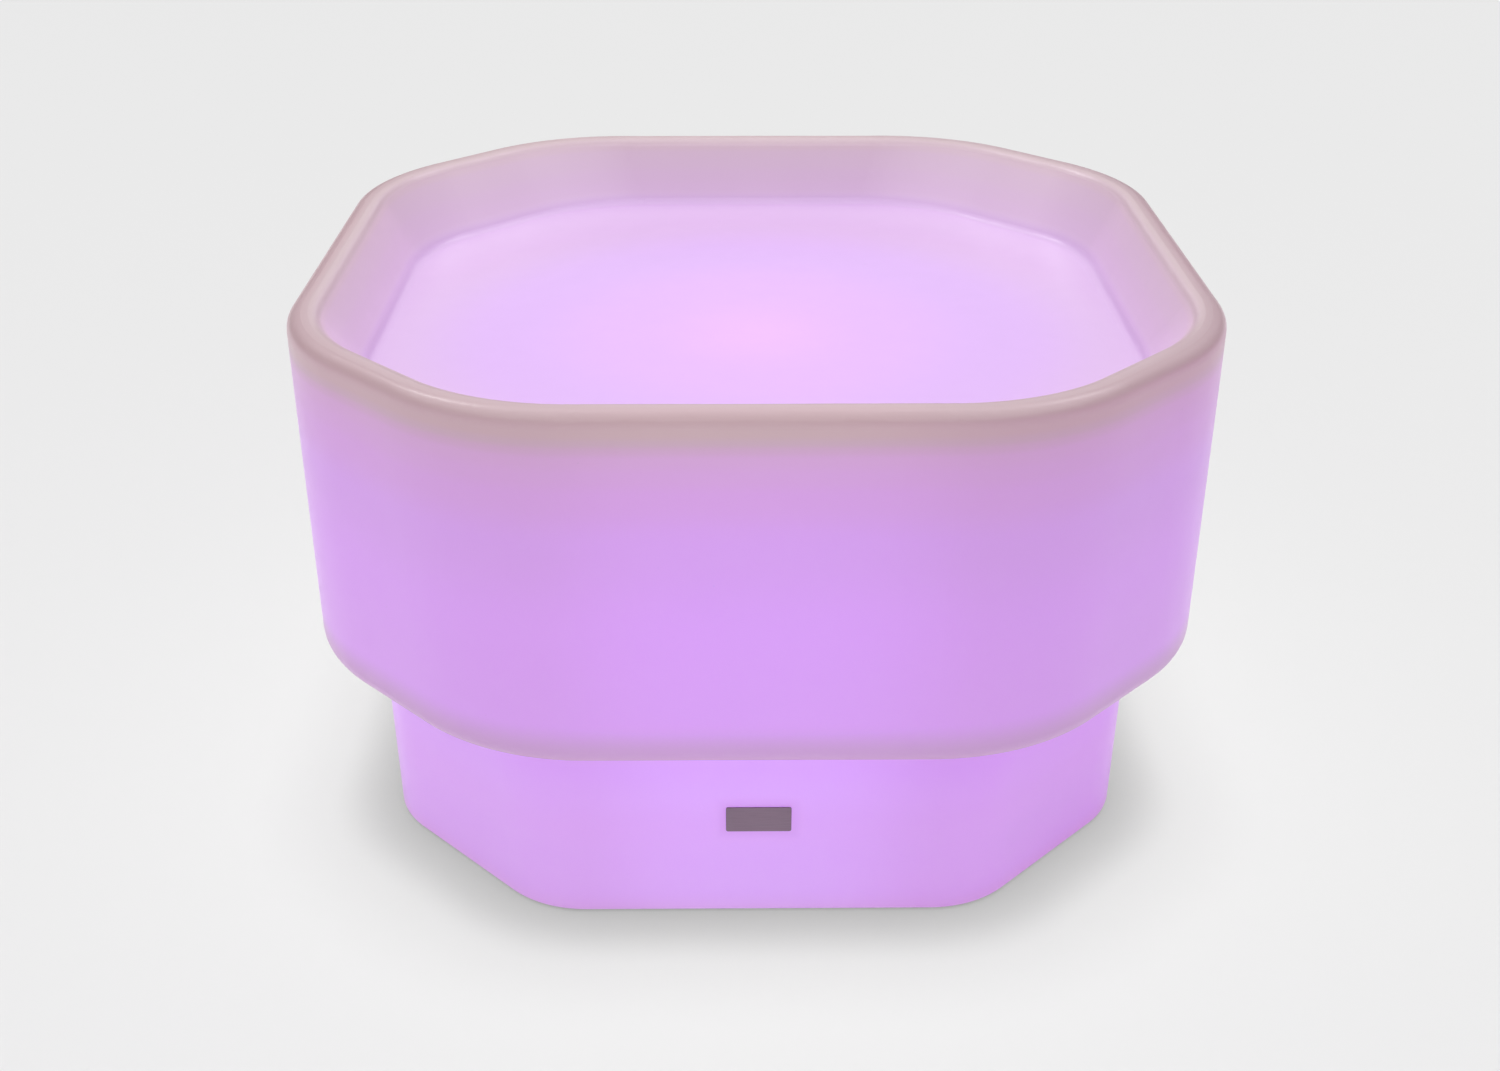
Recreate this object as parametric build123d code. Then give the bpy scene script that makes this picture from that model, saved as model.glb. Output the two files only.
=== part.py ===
"""Sensory light table: a hollow double-skin tray on a pedestal, lit from inside by a sealed light unit.

The body is one rotationally moulded shell with the plan of a square whose corners are cut and rounded.
Its cavity is lit by a round light unit that screws into a pocket in the underside, over a gasket.
All sizes are in millimetres. The origin is at the centre of the base, on the floor that the feet stand
on, with +Z up and the badge on the -Y side.
"""

import os
from collections import namedtuple
from math import atan2, cos, degrees, hypot, pi, radians, sin, sqrt

from build123d import *

os.makedirs("parts", exist_ok=True)

# Plan of the moulding at one height: half the width across the flats, the leg that each corner cut takes
# off the square, and the radius that rounds the eight vertices
Plan = namedtuple("Plan", "half leg radius")

# Body, outer form
RIM_HALF = 339.2
RIM_LEG = 145.5
RIM_CORNER = 166.0
SKIRT_FLARE = 1.2
SKIRT_LEG = 151.5
SKIRT_CORNER = 168.0
LEDGE_WIDTH = 47.9
PEDESTAL_LEG = 129.0
PEDESTAL_CORNER = 82.0
PEDESTAL_FLARE = 2.5
TRAY_DRAFT = 27.1
TRAY_LEG = 135.0
TRAY_CORNER = 136.0
OVERALL_HEIGHT = 428.0
TRAY_DEPTH = 55.0
SKIRT_BOTTOM = 165.0
RIM_ROUND = 10.5
RIM_FLAT = 0.6
SKIRT_ROUND = 11.0
STEP_FILLET = 7.0
FLOOR_FILLET = 10.0
BASE_ROUND = 3.0
WALL = 4.0

# Feet
FOOT_RADIUS = 14.0
FOOT_PROUD = 1.5
FOOT_SUNK = 1.2
FOOT_CLEARANCE = 0.3
FOOT_ROUND = 0.5
FOOT_INSET = 34.0

# Badge on the front of the pedestal, left bare
BADGE_WIDTH = 48.0
BADGE_HEIGHT = 21.5
BADGE_THICKNESS = 0.8
BADGE_CORNER = 1.6
BADGE_CENTRE_Z = 86.5

# Pocket and port for the light unit, in the underside
POCKET_DEPTH = 14.0
POCKET_ROUND = 2.0
POCKET_CLEARANCE = 4.0
PORT_CLEARANCE = 1.5
SCREW_COUNT = 6
SCREW_START_ANGLE = 30.0
SCREW_GASKET_GAP = 3.65
BOSS_RADIUS = 8.0
BOSS_HEIGHT = 13.0
INSERT_RADIUS = 3.6
INSERT_LENGTH = 9.0
INSERT_BORE_RADIUS = 2.05
INSERT_RELIEF = 2.0
INSERT_KNURLS = 18
INSERT_KNURL_DEPTH = 0.35
SCREW_RADIUS = 1.95
SCREW_LENGTH = 13.5
SCREW_HEAD_RADIUS = 4.0
SCREW_HEAD_HEIGHT = 2.4
SCREW_RECESS_SHARE = 0.38
SCREW_RECESS_DEPTH_SHARE = 0.6
SCREW_HEAD_ROUND_SHARE = 0.4
SCREW_HOLE_CLEARANCE = 0.35

# Housing of the light unit
FLANGE_EDGE = 8.0
FLANGE_THICKNESS = 4.0
FLANGE_ROUND = 1.0
GASKET_THICKNESS = 1.5
GASKET_WIDTH = 5.5
GASKET_GAP = 0.5
CUP_MARGIN = 4.85
CUP_WALL = 3.0
CUP_FLOOR = 5.0
CUP_HEIGHT = 52.0
LIP_WIDTH = 12.0
LIP_THICKNESS = 6.0

# Dome over the lights
DOME_FLANGE = 3.0
DOME_RISE = 20.0
DOME_WALL = 2.5
DOME_INSET = 0.5
DOME_SCREW_COUNT = 6
SMALL_SCREW_RADIUS = 1.2
SMALL_HEAD_RADIUS = 2.3
SMALL_HEAD_HEIGHT = 1.5
SMALL_HOLE_CLEARANCE = 0.2
SMALL_THREAD_CLEARANCE = 0.05
SMALL_SCREW_END_GAP = 0.5
DOME_SCREW_LENGTH = 7.5
DOME_SCREW_EDGE = 0.7
SEAL_SECTION_RADIUS = 1.1
SEAL_GROOVE_DEPTH = 1.8
SEAL_GROOVE_WIDTH = 2.6
SEAL_INSET = 2.4

# Light board, which the pillars carry
LED_BOARD_CLEARANCE = 2.0
LED_BOARD_THICKNESS = 1.6
LED_BOARD_Z = 54.0
PILLAR_RADIUS = 3.0
PILLAR_EDGE = 5.0
PILLAR_COUNT = 4
BOARD_SCREW_LENGTH = 7.0
LED_SIDE = 5.0
LED_HEIGHT = 1.6
LED_WINDOW_RADIUS = 1.9
LED_WINDOW_DEPTH = 0.5
LED_RINGS = ((8, 22.0), (16, 44.0))
RECEIVER_SIDE = 6.0
RECEIVER_HEIGHT = 6.0
RECEIVER_CHAMFER = 0.6
RECEIVER_LENS_RADIUS = 2.5

# Batteries, their holder and the door under them
CELL_RADIUS = 9.2
CELL_LENGTH = 65.0
CELL_COUNT = 3
CELL_GAP = 0.2
CELL_EDGE_ROUND = 0.8
CELL_BUTTON_RADIUS = 3.0
CELL_BUTTON_HEIGHT = 0.7
BATTERY_CENTRE_Y = 20.0
CELL_BOTTOM_Z = 16.2
TAB_THICKNESS = 0.9
TAB_HEIGHT = 8.0
HOLDER_WALL = 2.5
HOLDER_TOP = 2.0
HOLDER_GAP = 0.2
HOLDER_SLOT_CORNER = 2.0
DOOR_THICKNESS = 2.5
DOOR_OPENING_GAP = 0.5
DOOR_LEDGE = 8.0
DOOR_CLEARANCE = 0.4
DOOR_CORNER = 5.0
DOOR_SEAL_THICKNESS = 0.6
DOOR_SCREW_INSET = 3.6
DOOR_POST_RADIUS = 2.1
DOOR_POST_END = 1.0
DOOR_SCREW_LENGTH = 5.0
DOOR_RIB_WIDTH = 3.0

# Control board, which stands on the battery holder
CONTROL_BOARD_INSET = 0.9
CONTROL_BOARD_CORNER = 2.0
CONTROL_BOARD_THICKNESS = 1.6
CONTROL_POST_RADIUS = 2.6
CONTROL_POST_HEIGHT = 3.5
CONTROL_POST_INSET = 4.0
CHIP_SIDE = 10.0
CHIP_HEIGHT = 1.4
COIL_SIDE = 8.0
COIL_CORNER = 1.5
COIL_HEIGHT = 4.0
COIL_PITCH = 12.0
CAPACITOR_RADIUS = 2.5
CAPACITOR_HEIGHT = 5.0
CAPACITOR_PITCH = 8.0
CAPACITOR_COUNT = 4
CHIP_ROW = 8.0
CAPACITOR_ROW = -12.0

# Controls in the floor of the cup
CONTROL_OFFSET_X = 26.0
CONTROL_DOOR_GAP = 15.7
BEZEL_RADIUS = 8.0
BEZEL_THICKNESS = 1.6
BEZEL_ROUND = 0.5
BARREL_RADIUS = 6.0
BARREL_CLEARANCE = 0.15
BARREL_TOP_Z = 28.0
NUT_FLATS = 14.5
NUT_HEIGHT = 3.0

# Push button, its return spring and its travel
BUTTON_RADIUS = 4.5
BUTTON_CLEARANCE = 0.3
BUTTON_PROUD = 1.9
BUTTON_HEIGHT = 5.5
BUTTON_ROUND = 1.0
BUTTON_TRAVEL = 1.5
STEM_RADIUS = 1.5
STEM_CLEARANCE = 0.3
STEM_HEAD_RADIUS = 2.6
STEM_HEAD_HEIGHT = 0.9
SHOULDER_THICKNESS = 2.0
SHOULDER_PLAY = 0.2
CHAMBER_RADIUS = 3.4
SPRING_COIL_RADIUS = 3.1
SPRING_WIRE_RADIUS = 0.3
SPRING_TURNS = 3
SPRING_LENGTH = 4.6
SPRING_SEAT_GAP = 0.05

# Charging socket and its hinged rubber cover
SOCKET_BORE_RADIUS = 2.75
SOCKET_BORE_DEPTH = 9.0
CONTACT_RADIUS = 1.0
CONTACT_SET_BACK = 2.4
CONTACT_ROUND_SHARE = 0.7
COVER_RADIUS = 8.0
COVER_THICKNESS = 1.9
COVER_GAP = 0.25
COVER_ROUND = 0.5
BUNG_RADIUS = 2.3
BUNG_HEIGHT = 1.6
BUNG_CHAMFER = 0.4
COVER_TAB_WIDTH = 6.0
COVER_TAB_REACH = 4.0
HINGE_DISTANCE = 13.0
HINGE_PIN_RADIUS = 0.8
HINGE_CLEARANCE = 0.06
HINGE_EYE_RADIUS = 1.7
ARM_WIDTH = 4.0
EAR_WIDTH = 1.6
EAR_GAP = 0.15
ANCHOR_LENGTH = 6.0
ANCHOR_GAP = 0.3
ANCHOR_PEG_RADIUS = 1.5
ANCHOR_PEG_HEIGHT = 3.0

# Charging light
STATUS_SPACING = 12.0
STATUS_RADIUS = 2.0
STATUS_HEAD_RADIUS = 3.0
STATUS_HEAD_THICKNESS = 0.9
STATUS_HEAD_ROUND = 0.5
STATUS_TOP_Z = 20.0
STATUS_PIN_SPACING = 1.2

# Wires inside the unit
WIRE_RADIUS = 0.7
WIRE_PITCH = 2.4
WIRE_BEND = 4.0
WIRE_CHANNEL_RADIUS = 1.2
LEAD_HEIGHT = 5.0
LEAD_LANDING = 8.0
LED_WIRE_COUNT = 5

# How far a cutting shape runs past the face that it opens
CUT_MARGIN = 1.0

# Plans, heights and radii that follow from the sizes above
RIM_WIDTH = 2 * RIM_ROUND + RIM_FLAT
RIM_PLAN = Plan(RIM_HALF, RIM_LEG, RIM_CORNER)
SKIRT_PLAN = Plan(RIM_HALF + SKIRT_FLARE, SKIRT_LEG, SKIRT_CORNER)
PEDESTAL_PLAN = Plan(SKIRT_PLAN.half - LEDGE_WIDTH, PEDESTAL_LEG, PEDESTAL_CORNER)
TRAY_FLOOR_PLAN = Plan(RIM_HALF - RIM_WIDTH - TRAY_DRAFT, TRAY_LEG, TRAY_CORNER)
BODY_BOTTOM = FOOT_PROUD
TRAY_FLOOR = OVERALL_HEIGHT - TRAY_DEPTH
POCKET_TOP = BODY_BOTTOM + POCKET_DEPTH
FLANGE_TOP = POCKET_TOP - GASKET_THICKNESS
FLANGE_BOTTOM = FLANGE_TOP - FLANGE_THICKNESS
CELL_TOP_Z = CELL_BOTTOM_Z + 2 * CELL_RADIUS
CELL_PITCH = 2 * CELL_RADIUS + CELL_GAP
CELL_BLOCK_WIDTH = CELL_COUNT * CELL_PITCH - CELL_GAP
DOOR_OPENING = (CELL_LENGTH + 2 * DOOR_OPENING_GAP, CELL_BLOCK_WIDTH + 2 * DOOR_OPENING_GAP)
DOOR_SIZE = (DOOR_OPENING[0] + 2 * DOOR_LEDGE, DOOR_OPENING[1] + 2 * DOOR_LEDGE)
DOOR_TOP = FLANGE_BOTTOM + DOOR_THICKNESS
DOOR_SEAT = DOOR_TOP + DOOR_SEAL_THICKNESS
CUP_RADIUS = hypot(DOOR_SIZE[0] / 2, BATTERY_CENTRE_Y + DOOR_SIZE[1] / 2) + CUP_MARGIN
CUP_FLOOR_TOP = FLANGE_BOTTOM + CUP_FLOOR
CUP_TOP = FLANGE_BOTTOM + CUP_HEIGHT
CUP_INNER_RADIUS = CUP_RADIUS - CUP_WALL
LIP_INNER_RADIUS = CUP_RADIUS - LIP_WIDTH
PORT_RADIUS = CUP_RADIUS + PORT_CLEARANCE
GASKET_INNER_RADIUS = PORT_RADIUS + GASKET_GAP
SCREW_CIRCLE_RADIUS = GASKET_INNER_RADIUS + GASKET_WIDTH + SCREW_GASKET_GAP + SCREW_RADIUS
FLANGE_RADIUS = SCREW_CIRCLE_RADIUS + FLANGE_EDGE
POCKET_RADIUS = FLANGE_RADIUS + POCKET_CLEARANCE
LED_BOARD_RADIUS = LIP_INNER_RADIUS - LED_BOARD_CLEARANCE
LED_BOARD_TOP = LED_BOARD_Z + LED_BOARD_THICKNESS
PILLAR_CIRCLE_RADIUS = LED_BOARD_RADIUS - PILLAR_EDGE
DOME_SCREW_CIRCLE = CUP_RADIUS - SMALL_HEAD_RADIUS - DOME_SCREW_EDGE
SEAL_RADIUS = LIP_INNER_RADIUS + SEAL_INSET
HOLDER_INNER_HALF = CELL_LENGTH / 2 + TAB_THICKNESS
HOLDER_SIZE = (2 * (HOLDER_INNER_HALF + HOLDER_WALL), CELL_BLOCK_WIDTH + 2 * HOLDER_GAP)
HOLDER_TOP_Z = CELL_TOP_Z + HOLDER_GAP + HOLDER_TOP
BATTERY_WIRE_X = HOLDER_INNER_HALF
CONTROL_BOARD_SIZE = (HOLDER_SIZE[0] - 2 * CONTROL_BOARD_INSET, HOLDER_SIZE[1] - 2 * CONTROL_BOARD_INSET)
CONTROL_BOARD_Z = HOLDER_TOP_Z + CONTROL_POST_HEIGHT
CONTROL_BOARD_TOP = CONTROL_BOARD_Z + CONTROL_BOARD_THICKNESS
CONTROL_OFFSET_Y = BATTERY_CENTRE_Y - DOOR_SIZE[1] / 2 - CONTROL_DOOR_GAP - BEZEL_RADIUS
STATUS_Y = CONTROL_OFFSET_Y - STATUS_SPACING
BEZEL_BOTTOM = FLANGE_BOTTOM - BEZEL_THICKNESS
BUTTON_BOTTOM = BEZEL_BOTTOM - BUTTON_PROUD
BUTTON_BACK = BUTTON_BOTTOM + BUTTON_HEIGHT
SHOULDER_BOTTOM = BUTTON_BACK + SPRING_LENGTH
SHOULDER_TOP = SHOULDER_BOTTOM + SHOULDER_THICKNESS
COVER_TOP = BEZEL_BOTTOM - COVER_GAP
COVER_BOTTOM = COVER_TOP - COVER_THICKNESS
HINGE_X = -CONTROL_OFFSET_X - HINGE_DISTANCE
HINGE_Z = (COVER_TOP + COVER_BOTTOM) / 2
EAR_START = ARM_WIDTH / 2 + EAR_GAP
EAR_END = EAR_START + EAR_WIDTH


def outline(plan, z, inset=0.0):
    """The rounded plan at height z, drawn in by inset all round."""
    half = plan.half - inset
    leg = plan.leg - inset * (2 - sqrt(2))
    corners = [(half, half - leg), (half - leg, half)]
    for x, y in list(corners):
        corners.append((-y, x))
    for x, y in list(corners):
        corners.append((-x, -y))
    corners.sort(key=lambda corner: atan2(corner[1], corner[0]))
    face = make_face(Polyline(*corners, close=True))
    return Pos(0, 0, z) * fillet(face.vertices(), plan.radius - inset)


def inner_plan(plan, inset):
    """The same plan, smaller by inset all round."""
    return Plan(plan.half - inset, plan.leg - inset * (2 - sqrt(2)), plan.radius - inset)


def ring(outer, inner, bottom, top):
    """A flat ring or tube round the Z axis."""
    return tube_at(0, 0, outer, inner, bottom, top)


def disc_at(x, y, radius, bottom, top):
    """An upright cylinder at x, y."""
    return Pos(x, y, bottom) * extrude(Circle(radius), top - bottom)


def tube_at(x, y, outer, inner, bottom, top):
    """An upright tube at x, y."""
    return Pos(x, y, bottom) * extrude(Circle(outer) - Circle(inner), top - bottom)


def block_at(x, y, size_x, size_y, bottom, top, corner=0.0):
    """An upright block at x, y, its upright corners rounded where corner says."""
    shape = RectangleRounded(size_x, size_y, corner) if corner else Rectangle(size_x, size_y)
    return Pos(x, y, bottom) * extrude(shape, top - bottom)


def around(count, radius, start=0.0):
    """The x, y points of an even circle of count places."""
    angles = [radians(start) + 2 * pi * k / count for k in range(count)]
    return [(radius * cos(angle), radius * sin(angle)) for angle in angles]


def unit_screw_places():
    """Where the six screws of the light unit go."""
    return around(SCREW_COUNT, SCREW_CIRCLE_RADIUS, SCREW_START_ANGLE)


def edges_at(solid, z):
    """The level edges of a solid at height z."""
    return solid.edges().filter_by(lambda e: abs(e.bounding_box().min.Z - z) < 0.01
                                   and abs(e.bounding_box().max.Z - z) < 0.01)


def tub_form(skin):
    """The moulding's outer form for a skin of 0, or the cavity that lies that far inside it."""
    bottom, ledge, top = BODY_BOTTOM + skin, SKIRT_BOTTOM + skin, OVERALL_HEIGHT - skin
    skirt = loft([outline(SKIRT_PLAN, ledge, skin), outline(RIM_PLAN, top, skin)], ruled=True)
    skirt = fillet(edges_at(skirt, ledge), SKIRT_ROUND - skin)
    skirt = fillet(edges_at(skirt, top), RIM_ROUND - skin)
    foot_plan = inner_plan(PEDESTAL_PLAN, skin)
    flared = inner_plan(foot_plan, -PEDESTAL_FLARE)
    pedestal = loft([outline(foot_plan, bottom), outline(flared, ledge)], ruled=True)
    if skin == 0:
        pedestal = fillet(edges_at(pedestal, bottom), BASE_ROUND)
    pedestal += extrude(outline(flared, ledge), SKIRT_ROUND)
    form = skirt + pedestal
    form = fillet(junction_edges(form, ledge, flared.half), STEP_FILLET + skin)
    return form - tray_space(skin)


def junction_edges(form, z, half):
    """The edges at height z where the pedestal meets the underside of the skirt."""
    level = edges_at(form, z)
    return level.filter_by(lambda e: hypot(e.center().X, e.center().Y) < half * 1.12
                           and max(abs(e.center().X), abs(e.center().Y)) < half + 1.0)


def tray_space(skin):
    """The space of the tray above its floor, grown by the skin that lines it."""
    floor, top = TRAY_FLOOR - skin, OVERALL_HEIGHT - skin
    mouth = inner_plan(RIM_PLAN, RIM_WIDTH - skin)
    space = loft([outline(TRAY_FLOOR_PLAN, floor, -skin), outline(mouth, top)], ruled=True)
    space = fillet(edges_at(space, floor), FLOOR_FILLET + skin)
    return space


def make_body_shell():
    """The hollow moulding: its outer form, less the cavity, with the pocket, port and insert bosses."""
    outer = tub_form(0.0)
    outer = fillet(edges_at_rim(outer), RIM_ROUND)
    cavity = tub_form(WALL)
    cavity = fillet(edges_at_rim(cavity, WALL), RIM_ROUND - WALL)
    cavity -= disc_at(0, 0, POCKET_RADIUS + WALL, BODY_BOTTOM, POCKET_TOP + WALL)
    shell = outer - cavity
    for x, y in unit_screw_places():
        shell += disc_at(x, y, BOSS_RADIUS, POCKET_TOP, POCKET_TOP + BOSS_HEIGHT)
    shell -= disc_at(0, 0, POCKET_RADIUS, BODY_BOTTOM - CUT_MARGIN, POCKET_TOP)
    mouth = edges_at(shell, BODY_BOTTOM).filter_by(GeomType.CIRCLE).sort_by(SortBy.LENGTH)[-1:]
    shell = fillet(mouth, POCKET_ROUND)
    shell -= disc_at(0, 0, PORT_RADIUS, BODY_BOTTOM, POCKET_TOP + WALL + BOSS_HEIGHT)
    for x, y in unit_screw_places():
        shell -= disc_at(x, y, INSERT_RADIUS, POCKET_TOP, POCKET_TOP + INSERT_LENGTH)
        shell -= disc_at(x, y, INSERT_BORE_RADIUS, POCKET_TOP, POCKET_TOP + INSERT_LENGTH + INSERT_RELIEF)
    for x, y in foot_places():
        seat_radius = FOOT_RADIUS + FOOT_CLEARANCE
        shell -= disc_at(x, y, seat_radius, BODY_BOTTOM - CUT_MARGIN, BODY_BOTTOM + FOOT_SUNK)
    return shell


def edges_at_rim(form, skin=0.0):
    """The sharp edge where the rim's flat top meets the tray's wall."""
    half = RIM_PLAN.half - RIM_WIDTH + skin
    return edges_at(form, OVERALL_HEIGHT - skin).filter_by(
        lambda e: max(abs(e.center().X), abs(e.center().Y)) < half + 0.3)


def foot_places():
    """Where the four feet stand, inside the cut corners of the pedestal."""
    corner_reach = (2 * PEDESTAL_PLAN.half - PEDESTAL_PLAN.leg) / sqrt(2)
    return around(4, corner_reach - FOOT_INSET, 45)


def make_feet():
    """Four soft pads set into shallow seats in the underside."""
    feet = []
    for x, y in foot_places():
        pad = disc_at(x, y, FOOT_RADIUS, 0, FOOT_PROUD + FOOT_SUNK)
        feet.append(chamfer(edges_at(pad, 0), FOOT_ROUND))
    return feet


def make_badge_plate():
    """A bare plate, stuck flat on the sloping front of the pedestal."""
    rise = SKIRT_BOTTOM - BODY_BOTTOM
    slope = degrees(atan2(PEDESTAL_FLARE, rise))
    share = (BADGE_CENTRE_Z - BODY_BOTTOM) / rise
    front = PEDESTAL_PLAN.half + PEDESTAL_FLARE * share
    plate = extrude(RectangleRounded(BADGE_WIDTH, BADGE_HEIGHT, BADGE_CORNER), BADGE_THICKNESS)
    plate = chamfer(plate.edges().group_by(Axis.Z)[-1], BADGE_THICKNESS / 4)
    return Pos(0, -front, BADGE_CENTRE_Z) * Rot(90 + slope, 0, 0) * plate


def make_unit_gasket():
    """The flat seal between the flange and the pocket, inside the ring of screws."""
    return ring(GASKET_INNER_RADIUS + GASKET_WIDTH, GASKET_INNER_RADIUS, FLANGE_TOP, POCKET_TOP)


def make_thread_inserts():
    """Brass inserts moulded into the bosses, with a knurl proud of a plain core."""
    inserts = []
    for x, y in unit_screw_places():
        sleeve = Circle(INSERT_RADIUS) - Circle(INSERT_BORE_RADIUS)
        for kx, ky in around(INSERT_KNURLS, INSERT_RADIUS):
            sleeve -= Pos(kx, ky) * Circle(INSERT_KNURL_DEPTH)
        inserts.append(Pos(x, y, POCKET_TOP) * extrude(sleeve, INSERT_LENGTH))
    return inserts


def screw(x, y, seat_z, radius, length, head_radius, head_height, upward=1):
    """A pan-head screw whose head bears on seat_z. Its shank runs up, or down where upward is -1."""
    recess = RegularPolygon(head_radius * SCREW_RECESS_SHARE, 6)
    head = Pos(0, 0, -head_height) * extrude(Circle(head_radius), head_height)
    head = fillet(edges_at(head, -head_height), head_height * SCREW_HEAD_ROUND_SHARE)
    head -= Pos(0, 0, -head_height) * extrude(recess, head_height * SCREW_RECESS_DEPTH_SHARE)
    body = head + extrude(Circle(radius), length)
    flip = Rot(0, 0, 0) if upward > 0 else Rot(180, 0, 0)
    return Pos(x, y, seat_z) * flip * body


def make_unit_screws():
    """The six screws that hold the light unit in its pocket."""
    return [screw(x, y, FLANGE_BOTTOM, SCREW_RADIUS, SCREW_LENGTH, SCREW_HEAD_RADIUS,
                  SCREW_HEAD_HEIGHT) for x, y in unit_screw_places()]


def door_screw_places():
    """The four corners of the battery door where its screws go."""
    reach_x = DOOR_SIZE[0] / 2 - DOOR_SCREW_INSET
    reach_y = DOOR_SIZE[1] / 2 - DOOR_SCREW_INSET
    return [(sx * reach_x, BATTERY_CENTRE_Y + sy * reach_y) for sx in (1, -1) for sy in (1, -1)]


def make_unit_housing():
    """The moulded cup with its flange, lip, door opening and the holes for the controls."""
    cup = disc_at(0, 0, FLANGE_RADIUS, FLANGE_BOTTOM, FLANGE_TOP)
    cup = fillet(edges_at(cup, FLANGE_BOTTOM), FLANGE_ROUND)
    cup += disc_at(0, 0, CUP_RADIUS, FLANGE_BOTTOM, CUP_TOP)
    cup -= disc_at(0, 0, CUP_INNER_RADIUS, CUP_FLOOR_TOP, CUP_TOP - LIP_THICKNESS)
    cup -= disc_at(0, 0, LIP_INNER_RADIUS, CUP_FLOOR_TOP, CUP_TOP)
    for x, y in unit_screw_places():
        cup -= disc_at(x, y, SCREW_RADIUS + SCREW_HOLE_CLEARANCE, FLANGE_BOTTOM, FLANGE_TOP)
    cup -= ring(SEAL_RADIUS + SEAL_GROOVE_WIDTH / 2, SEAL_RADIUS - SEAL_GROOVE_WIDTH / 2,
                CUP_TOP - SEAL_GROOVE_DEPTH, CUP_TOP)
    dome_bore_end = CUP_TOP + DOME_FLANGE - DOME_SCREW_LENGTH - SMALL_SCREW_END_GAP
    for x, y in around(DOME_SCREW_COUNT, DOME_SCREW_CIRCLE):
        cup -= disc_at(x, y, SMALL_SCREW_RADIUS, dome_bore_end, CUP_TOP)
    cup -= block_at(0, BATTERY_CENTRE_Y, *DOOR_SIZE, FLANGE_BOTTOM, DOOR_SEAT, DOOR_CORNER)
    cup -= block_at(0, BATTERY_CENTRE_Y, *DOOR_OPENING, FLANGE_BOTTOM, CUP_FLOOR_TOP)
    for x, y in door_screw_places():
        bore_top = DOOR_TOP + DOOR_SCREW_LENGTH + SMALL_SCREW_END_GAP
        cup += disc_at(x, y, DOOR_POST_RADIUS, DOOR_TOP, bore_top + DOOR_POST_END)
        cup -= disc_at(x, y, SMALL_SCREW_RADIUS, DOOR_TOP, bore_top)
    for x in (CONTROL_OFFSET_X, -CONTROL_OFFSET_X):
        cup -= disc_at(x, CONTROL_OFFSET_Y, BARREL_RADIUS + BARREL_CLEARANCE, FLANGE_BOTTOM,
                       CUP_FLOOR_TOP)
    cup -= disc_at(0, STATUS_Y, STATUS_RADIUS, FLANGE_BOTTOM, CUP_FLOOR_TOP)
    cup -= disc_at(*anchor_place(), ANCHOR_PEG_RADIUS, FLANGE_BOTTOM, FLANGE_BOTTOM + ANCHOR_PEG_HEIGHT)
    return cup


def make_dome_seal():
    """A round seal in the lip's groove, squeezed flat where the groove and the dome press on it."""
    section = Pos(SEAL_RADIUS, CUP_TOP - SEAL_GROOVE_DEPTH / 2) * Circle(SEAL_SECTION_RADIUS)
    section &= Pos(SEAL_RADIUS, CUP_TOP - SEAL_GROOVE_DEPTH / 2) * Rectangle(
        2 * SEAL_SECTION_RADIUS, SEAL_GROOVE_DEPTH)
    return revolve(Plane.XZ * section, Axis.Z)


def make_light_dome():
    """The clear dome over the lights, with a flat flange that seats on the lip."""
    base = CUP_TOP + DOME_FLANGE
    span = LIP_INNER_RADIUS - DOME_INSET
    radius = (span ** 2 + DOME_RISE ** 2) / (2 * DOME_RISE)
    centre_z = CUP_TOP + DOME_RISE - radius
    above = disc_at(0, 0, CUP_RADIUS, CUP_TOP, base + DOME_RISE)
    dome = Pos(0, 0, centre_z) * Sphere(radius + DOME_WALL) & above
    dome += disc_at(0, 0, CUP_RADIUS, CUP_TOP, base)
    dome -= Pos(0, 0, centre_z) * Sphere(radius) & above
    for x, y in around(DOME_SCREW_COUNT, DOME_SCREW_CIRCLE):
        dome -= disc_at(x, y, SMALL_SCREW_RADIUS + SMALL_HOLE_CLEARANCE, CUP_TOP, base)
    return dome


def small_screw(x, y, seat_z, length, upward):
    """A small pan-head screw, in the size that every board, door and dome uses."""
    return screw(x, y, seat_z, SMALL_SCREW_RADIUS - SMALL_THREAD_CLEARANCE, length, SMALL_HEAD_RADIUS,
                 SMALL_HEAD_HEIGHT, upward)


def make_dome_screws():
    """Six small screws that hold the dome down."""
    places = around(DOME_SCREW_COUNT, DOME_SCREW_CIRCLE)
    return [small_screw(x, y, CUP_TOP + DOME_FLANGE, DOME_SCREW_LENGTH, upward=-1) for x, y in places]


def pillar_places():
    """Where the four pillars of the light board stand."""
    return around(PILLAR_COUNT, PILLAR_CIRCLE_RADIUS, 45)


def make_board_pillars():
    """Four hexagonal pillars between the cup's floor and the light board."""
    pillars = []
    height = LED_BOARD_Z - CUP_FLOOR_TOP
    bore_depth = BOARD_SCREW_LENGTH - LED_BOARD_THICKNESS + SMALL_SCREW_END_GAP
    for x, y in pillar_places():
        post = Pos(x, y, CUP_FLOOR_TOP) * extrude(RegularPolygon(PILLAR_RADIUS, 6), height)
        post -= disc_at(x, y, SMALL_SCREW_RADIUS, LED_BOARD_Z - bore_depth, LED_BOARD_Z)
        pillars.append(post)
    return pillars


def make_board_screws():
    """Four screws through the light board into its pillars."""
    return [small_screw(x, y, LED_BOARD_TOP, BOARD_SCREW_LENGTH, upward=-1) for x, y in pillar_places()]


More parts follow.
